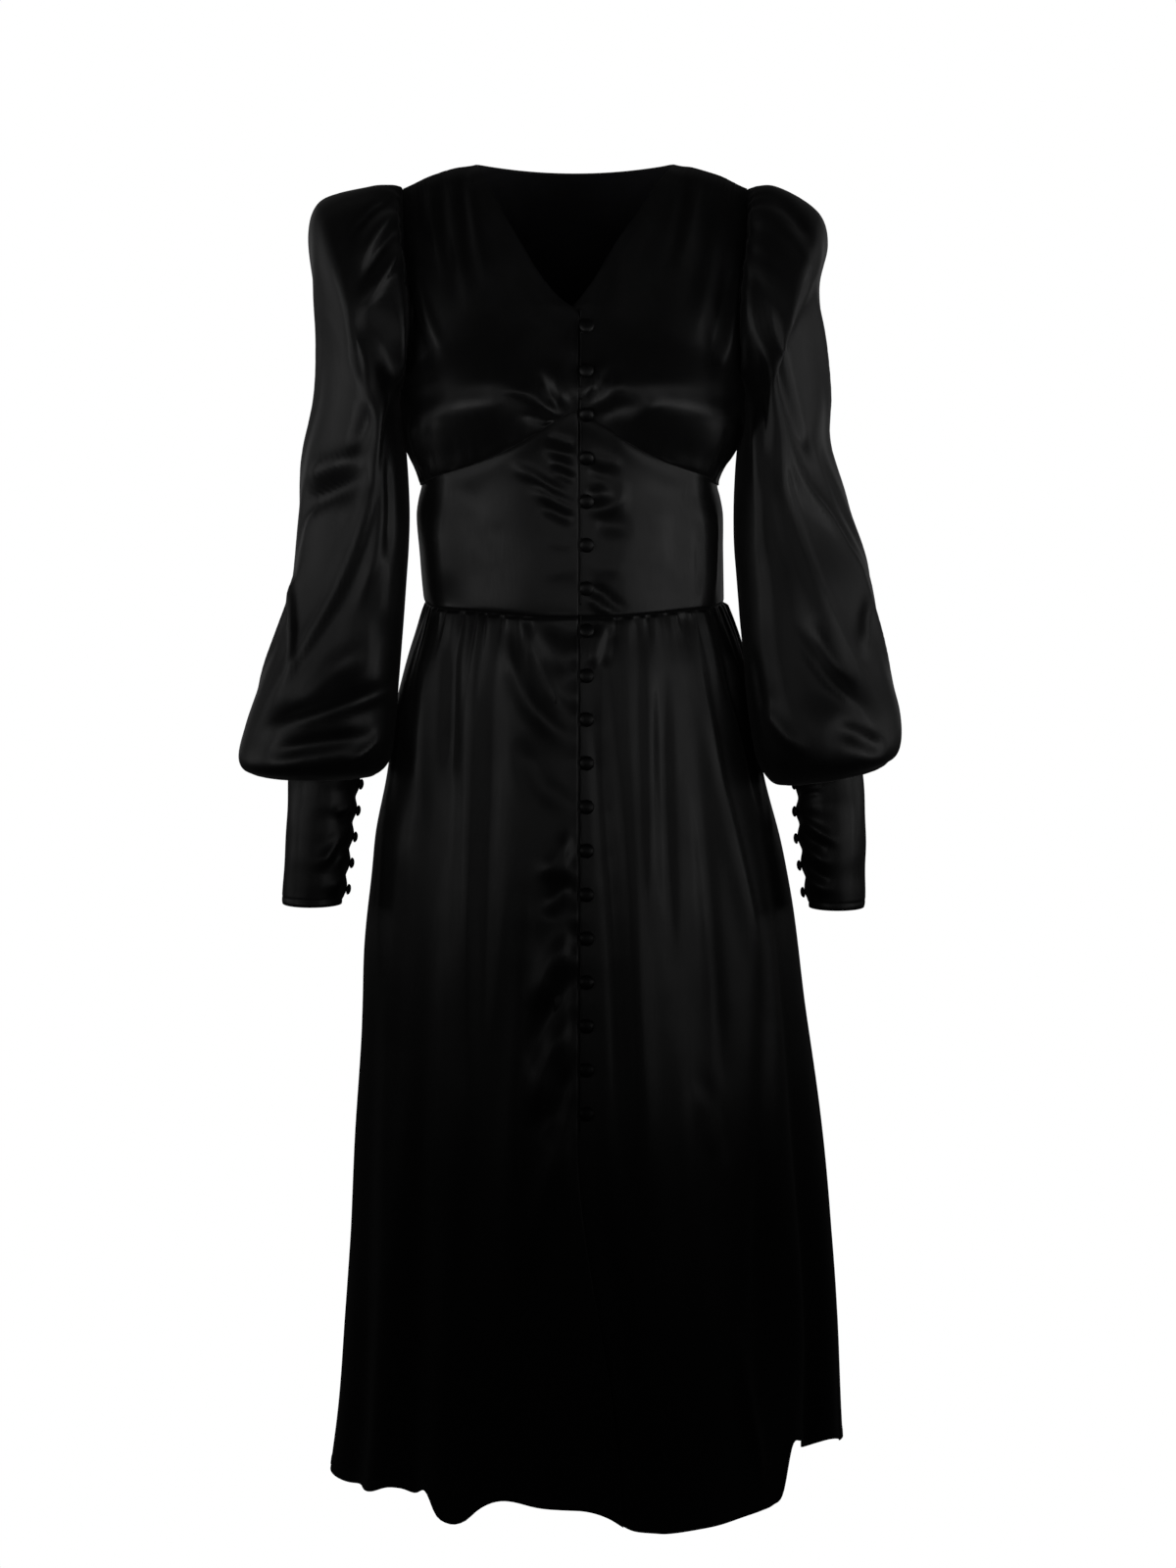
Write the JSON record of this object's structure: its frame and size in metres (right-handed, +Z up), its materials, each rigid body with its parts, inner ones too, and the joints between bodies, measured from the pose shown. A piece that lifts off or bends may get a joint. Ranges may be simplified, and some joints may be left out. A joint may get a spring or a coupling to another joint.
{
  "type": "button-down midi dress",
  "caption": "Black satin midi dress with a V neck, gathered bust and skirt, balloon sleeves, deep cuffs and a looped button front, in its worn shape.",
  "frame": {"origin": "middle of the shoulder seam line, level with the points where the shoulder seams meet the neck edge, where the wearer's shoulders hold the dress", "axes": "+Z up, towards the neck; +X towards the wearer's left; the front faces -Y"},
  "size_m": [0.572, 0.3986, 1.1405],
  "materials": {
    "satin": "black satin, smooth and softly shining",
    "covered_button": "the same satin stretched over a small dome",
    "looping": "thin black looping cord"
  },
  "bodies": {
    "root": {"bodice_front_right": "satin", "bodice_front_left": "satin", "bodice_back": "satin", "midriff_right": "satin", "midriff_left": "satin", "skirt_front_right": "satin", "skirt_front_left": "satin", "skirt_back": "satin", "sleeve_right": "satin", "sleeve_left": "satin", "cuff_right": "satin", "cuff_left": "satin", "loops_bodice": "looping", "loops_midriff": "looping", "loops_skirt": "looping", "button_01": "covered_button", "button_02": "covered_button", "button_03": "covered_button", "button_04": "covered_button", "button_05": "covered_button", "button_06": "covered_button", "button_07": "covered_button", "button_08": "covered_button", "button_09": "covered_button", "button_10": "covered_button", "button_11": "covered_button", "button_12": "covered_button", "button_13": "covered_button", "button_14": "covered_button", "button_15": "covered_button", "button_16": "covered_button", "button_17": "covered_button", "button_18": "covered_button", "button_19": "covered_button", "cuff_button_right_1": "covered_button", "cuff_button_right_2": "covered_button", "cuff_button_right_3": "covered_button", "cuff_button_right_4": "covered_button", "cuff_button_right_5": "covered_button", "cuff_button_left_1": "covered_button", "cuff_button_left_2": "covered_button", "cuff_button_left_3": "covered_button", "cuff_button_left_4": "covered_button", "cuff_button_left_5": "covered_button"}
  },
  "joints": []
}
